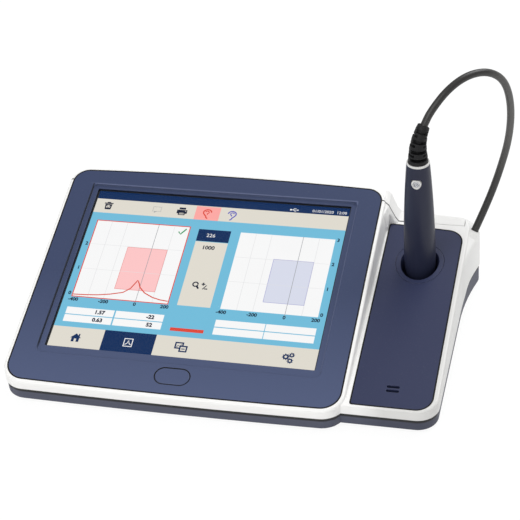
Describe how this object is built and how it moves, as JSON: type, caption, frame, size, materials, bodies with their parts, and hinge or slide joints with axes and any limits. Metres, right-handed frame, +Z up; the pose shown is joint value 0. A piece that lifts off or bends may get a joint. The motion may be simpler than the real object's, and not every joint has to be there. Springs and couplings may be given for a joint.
{
  "type": "tympanometer",
  "caption": "Desktop middle-ear analyser: wedge console with tilted touch screen, oval key, lower side unit with cradle, and a hand-held probe on a looped cord.",
  "frame": {"origin": "bottom centre of the console's bounding box without the free cord, at table level", "axes": "+X to the user's right along the console, +Y from the user to the back, +Z up"},
  "size_m": [0.2932, 0.18, 0.1595],
  "materials": {
    "white_shell": "satin",
    "dark_base": "fine texture",
    "slate_plastic": "fine texture",
    "probe_plastic": "satin",
    "key_grey": "satin",
    "tip_grey": "satin",
    "foot_rubber": "matte",
    "black_rubber": "matte",
    "cord_black": "satin",
    "tube_silicone": "satin",
    "black_plastic": "matte",
    "rotor_plastic": "matte",
    "clear_grey": "satin",
    "display_glass": "gloss",
    "display_body": "matte",
    "circuit_board": "satin",
    "bracket_steel": "brushed",
    "screw_steel": "satin",
    "port_metal": "satin"
  },
  "bodies": {
    "housing": {"top_shell": "white_shell", "rear_shell": "white_shell", "base_shell": "dark_base", "feet": "foot_rubber", "base_screws": "screw_steel", "bezel": "slate_plastic", "side_panel": "slate_plastic", "touch_glass": "display_glass", "lcd_panel": "display_body", "lcd_frame": "bracket_steel", "screen_gasket": "black_rubber", "screen_screws": "screw_steel", "key_board": "circuit_board", "key_switch": "black_plastic", "cradle_cup": "slate_plastic", "cradle_pad": "black_rubber", "cable_gland": "black_rubber", "speaker": "black_plastic", "speaker_gasket": "black_rubber", "main_board": "circuit_board", "board_parts": "black_plastic", "board_screws": "screw_steel", "port_board": "circuit_board", "port_plate": "bracket_steel", "power_jack": "black_plastic", "usb_ports": "port_metal", "lan_port": "port_metal", "pump_head": "black_plastic", "pump_motor": "port_metal", "pump_bracket": "bracket_steel", "air_manifold": "clear_grey", "pressure_sensor": "black_plastic", "relief_valve": "port_metal", "air_tube": "tube_silicone", "probe_cable": "cord_black"},
    "front_key": {"front_key": "slate_plastic"},
    "probe": {"probe_shell": "probe_plastic", "probe_ring": "white_shell", "key_collar": "white_shell", "probe_switch": "black_plastic", "probe_board": "circuit_board", "probe_core": "black_plastic", "probe_nose": "probe_plastic", "tip_nut": "probe_plastic", "probe_tip": "tip_grey", "probe_clamp": "black_plastic", "probe_boot": "black_rubber"},
    "probe_key": {"probe_key": "key_grey"},
    "pump_rotor": {"pump_rotor": "rotor_plastic"}
  },
  "joints": [
    {"name": "front_key_press", "type": "slide", "parent": "housing", "child": "front_key", "axis": [0, 0.2588, -0.9659], "range_m": [0, 0.0008], "stiffness_N_per_m": 900},
    {"name": "probe_lift", "type": "slide", "parent": "housing", "child": "probe", "axis": [0, 0, 1], "range_m": [0, 0.038], "deforming": ["probe_cable"]},
    {"name": "probe_key_press", "type": "slide", "parent": "probe", "child": "probe_key", "axis": [0, 1, 0], "range_m": [0, 0.0005], "stiffness_N_per_m": 800},
    {"name": "pump_spin", "type": "hinge", "parent": "housing", "child": "pump_rotor", "pos_m": [-0.08835, 0.04974, 0.021], "axis": [1, 0, 0], "continuous": true}
  ]
}
